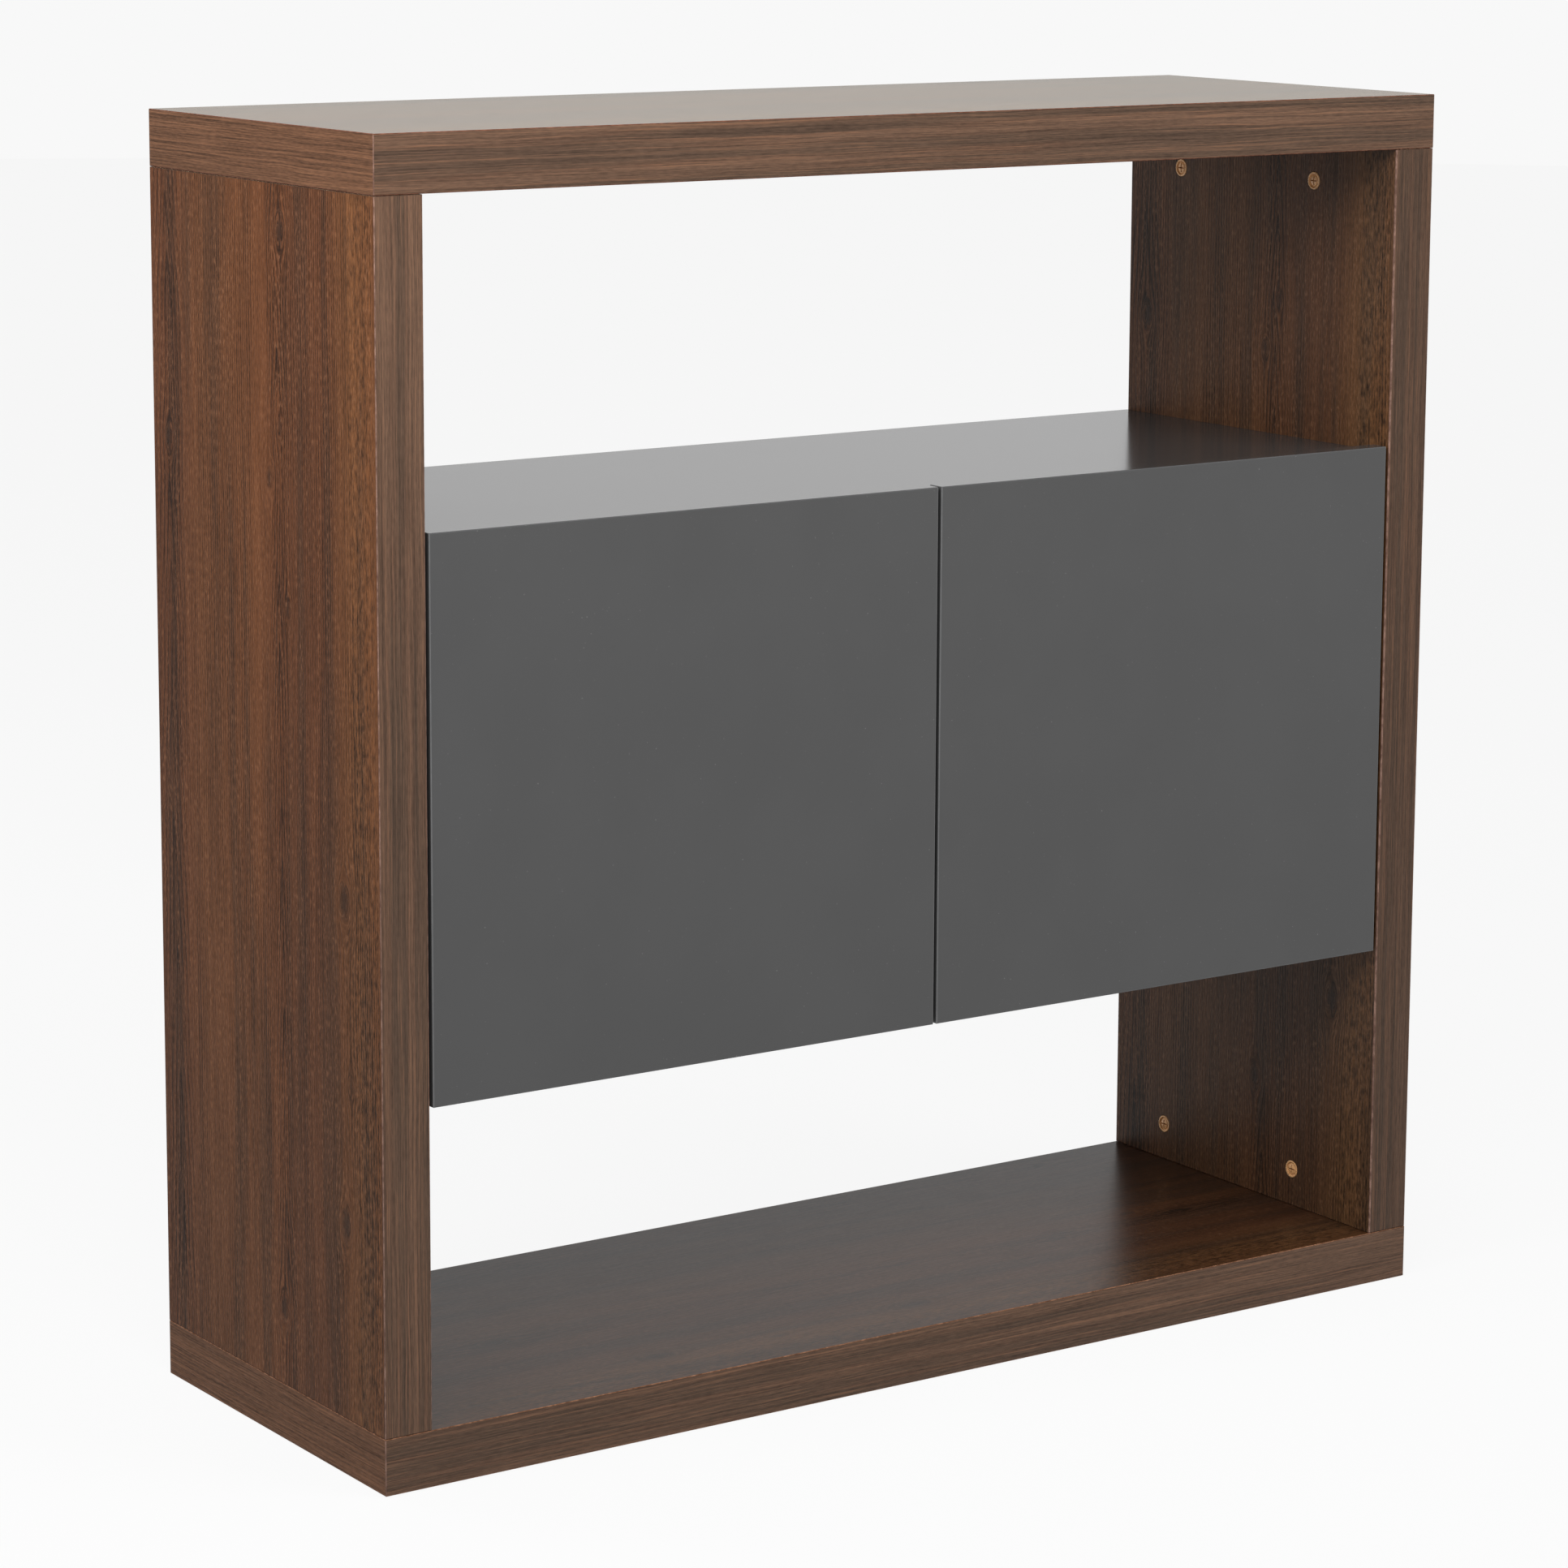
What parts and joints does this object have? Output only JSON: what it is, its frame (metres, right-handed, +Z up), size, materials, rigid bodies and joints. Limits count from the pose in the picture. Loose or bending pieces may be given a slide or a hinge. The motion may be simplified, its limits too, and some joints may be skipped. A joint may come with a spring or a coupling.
{
  "type": "shelf frame with two-door cabinet",
  "caption": "Rectangular open shelf frame of thick wood-look panels with a shallow two-door cabinet across its middle bay.",
  "frame": {"origin": "centre of the footprint, on the underside of the bottom slab", "axes": "+X to the right seen from the front, +Y towards the back (the doors face -Y), +Z up"},
  "size_m": [1, 0.348, 1.008],
  "materials": {
    "walnut": "dark walnut melamine, satin, fine open grain",
    "grey_board": "charcoal grey lacquer, semi-gloss",
    "door_board": "dark grey melamine, satin",
    "cam_plastic": "tan moulded plastic",
    "zinc_steel": "bright zinc plating",
    "nickel_steel": "nickel-plated pressed steel",
    "latch_plastic": "light grey moulded plastic"
  },
  "bodies": {
    "carcass": {"bottom_slab": "walnut", "top_slab": "walnut", "left_side_panel": "walnut", "right_side_panel": "walnut", "cam_left_bottom_front": "cam_plastic", "cam_left_bottom_back": "cam_plastic", "cam_left_top_front": "cam_plastic", "cam_left_top_back": "cam_plastic", "cam_right_bottom_front": "cam_plastic", "cam_right_bottom_back": "cam_plastic", "cam_right_top_front": "cam_plastic", "cam_right_top_back": "cam_plastic", "cam_bolt_left_bottom_front": "zinc_steel", "cam_bolt_left_bottom_back": "zinc_steel", "cam_bolt_left_top_front": "zinc_steel", "cam_bolt_left_top_back": "zinc_steel", "cam_bolt_right_bottom_front": "zinc_steel", "cam_bolt_right_bottom_back": "zinc_steel", "cam_bolt_right_top_front": "zinc_steel", "cam_bolt_right_top_back": "zinc_steel", "cabinet_bottom": "grey_board", "cabinet_top": "grey_board", "cabinet_left_side": "grey_board", "cabinet_right_side": "grey_board", "cabinet_divider": "grey_board", "cabinet_back": "grey_board", "cabinet_screw_left_front": "zinc_steel", "cabinet_screw_left_back": "zinc_steel", "cabinet_screw_right_front": "zinc_steel", "cabinet_screw_right_back": "zinc_steel", "left_shelf": "grey_board", "right_shelf": "grey_board", "shelf_pin_left_side_front": "zinc_steel", "shelf_pin_left_side_back": "zinc_steel", "shelf_pin_left_divider_front": "zinc_steel", "shelf_pin_left_divider_back": "zinc_steel", "shelf_pin_right_side_front": "zinc_steel", "shelf_pin_right_side_back": "zinc_steel", "shelf_pin_right_divider_front": "zinc_steel", "shelf_pin_right_divider_back": "zinc_steel", "hinge_arm_left_lower": "nickel_steel", "hinge_arm_left_upper": "nickel_steel", "hinge_arm_right_lower": "nickel_steel", "hinge_arm_right_upper": "nickel_steel", "latch_body_left": "latch_plastic", "latch_body_right": "latch_plastic"},
    "left_hinge_links": {"hinge_link_left_lower": "nickel_steel", "hinge_link_left_upper": "nickel_steel"},
    "left_door_leaf": {"left_door": "door_board", "hinge_cup_left_lower": "nickel_steel", "hinge_cup_left_upper": "nickel_steel", "strike_plate_left": "zinc_steel"},
    "left_plunger": {"latch_plunger_left": "latch_plastic"},
    "right_hinge_links": {"hinge_link_right_lower": "nickel_steel", "hinge_link_right_upper": "nickel_steel"},
    "right_door_leaf": {"right_door": "door_board", "hinge_cup_right_lower": "nickel_steel", "hinge_cup_right_upper": "nickel_steel", "strike_plate_right": "zinc_steel"},
    "right_plunger": {"latch_plunger_right": "latch_plastic"}
  },
  "joints": [
    {"name": "left_hinge_swing", "type": "hinge", "parent": "carcass", "child": "left_hinge_links", "pos_m": [-0.4318, -0.1591, 0.505], "axis": [0, 0, 1], "range_deg": [0, 43]},
    {"name": "left_door_swing", "type": "hinge", "parent": "left_hinge_links", "child": "left_door_leaf", "pos_m": [-0.446, -0.1629, 0.505], "axis": [0, 0, -1], "range_deg": [0, 143]},
    {"name": "left_plunger_press", "type": "slide", "parent": "carcass", "child": "left_plunger", "axis": [0, 1, 0], "range_m": [0, 0.003], "stiffness_N_per_m": 300},
    {"name": "right_hinge_swing", "type": "hinge", "parent": "carcass", "child": "right_hinge_links", "pos_m": [0.4318, -0.1591, 0.505], "axis": [0, 0, -1], "range_deg": [0, 43]},
    {"name": "right_door_swing", "type": "hinge", "parent": "right_hinge_links", "child": "right_door_leaf", "pos_m": [0.446, -0.1629, 0.505], "axis": [0, 0, 1], "range_deg": [0, 143]},
    {"name": "right_plunger_press", "type": "slide", "parent": "carcass", "child": "right_plunger", "axis": [0, 1, 0], "range_m": [0, 0.003], "stiffness_N_per_m": 300}
  ],
  "couplings": [
    {"joint": "left_door_swing", "follows": "left_hinge_swing", "ratio": 3.3255},
    {"joint": "right_door_swing", "follows": "right_hinge_swing", "ratio": 3.3255}
  ]
}
